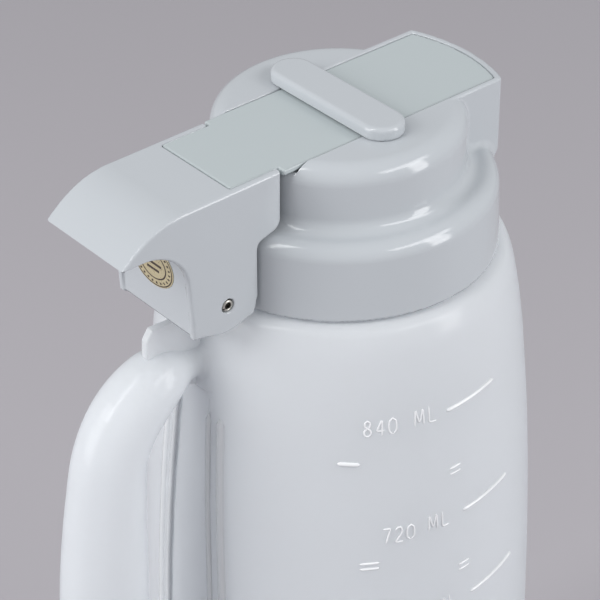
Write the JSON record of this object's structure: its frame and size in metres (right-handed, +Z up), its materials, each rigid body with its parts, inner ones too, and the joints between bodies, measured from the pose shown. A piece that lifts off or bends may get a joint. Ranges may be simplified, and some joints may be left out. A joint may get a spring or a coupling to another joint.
{
  "type": "dispenser jar",
  "caption": "Translucent pouring dispenser jar with moulded handle, screw lid, wide spout and a thumb lever that slides the gate open.",
  "frame": {"origin": "centre of the jar's flat base, on the surface it stands on", "axes": "+Z up, +X towards the spout, -X towards the handle and the thumb lever"},
  "size_m": [0.1123, 0.0833, 0.2228],
  "materials": {
    "jar_plastic": "translucent white, blow-moulded, satin gloss",
    "lid_plastic": "pale grey injection-moulded, semi-gloss",
    "gate_plastic": "pale green-grey, satin",
    "pin_steel": "rolled steel",
    "label_foil": "gold foil sticker with a dark brown band"
  },
  "bodies": {
    "root": {"jar": "jar_plastic", "lid": "lid_plastic", "bridge": "lid_plastic", "pin": "pin_steel"},
    "lever": {"lever": "lid_plastic", "label": "label_foil"},
    "gate": {"gate": "gate_plastic"}
  },
  "joints": [
    {"name": "lever_press", "type": "hinge", "parent": "root", "child": "lever", "pos_m": [-0.03731, 0, 0.19579], "axis": [0, -1, 0], "range_deg": [0, 13], "stiffness_Nm_per_rad": 0.4, "springref_deg": -11.46},
    {"name": "gate_slide", "type": "slide", "parent": "root", "child": "gate", "axis": [-1, 0, 0], "range_m": [0, 0.0046]}
  ],
  "couplings": [
    {"joint": "gate_slide", "follows": "lever_press", "m_per_rad": 0.02027}
  ]
}
